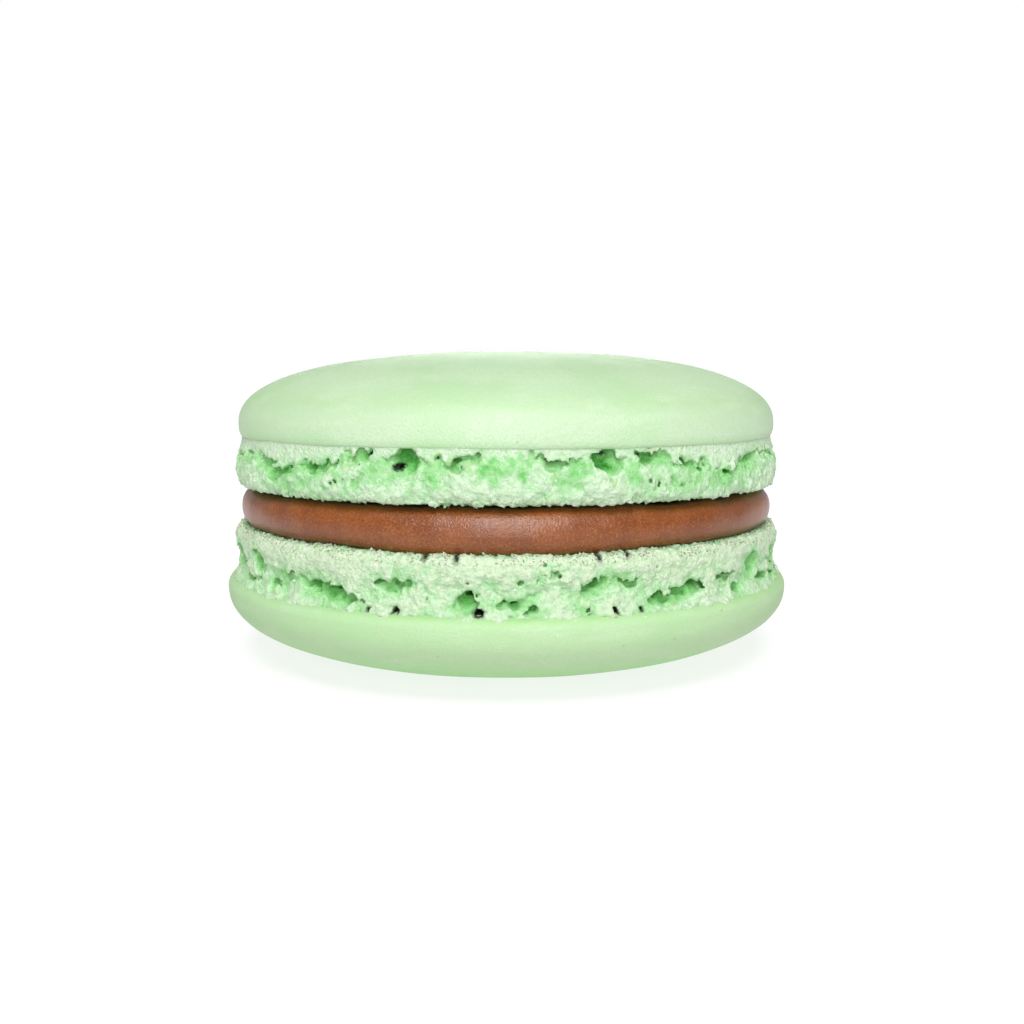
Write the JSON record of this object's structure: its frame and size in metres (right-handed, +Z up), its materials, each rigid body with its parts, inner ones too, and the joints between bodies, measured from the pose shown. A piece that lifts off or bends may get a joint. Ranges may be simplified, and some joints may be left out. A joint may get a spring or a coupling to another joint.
{
  "type": "french macaron",
  "caption": "Round sandwich biscuit: smooth domed meringue shells with ruffled porous feet, pressed on a soft chocolate filling.",
  "frame": {"origin": "middle of the flat spot that the bottom shell rests on", "axes": "+Z up along the round axis, -Y towards the viewer, +X to the viewer's right"},
  "size_m": [0.046, 0.046, 0.0244],
  "materials": {
    "shell": "pale mint-green baked meringue, matt and finely grained on its porous foot, faintly glossy on its dome",
    "filling": "soft milk-chocolate ganache with a low satin sheen"
  },
  "bodies": {
    "root": {"bottom_shell": "shell", "filling": "filling", "top_shell": "shell"}
  },
  "joints": []
}
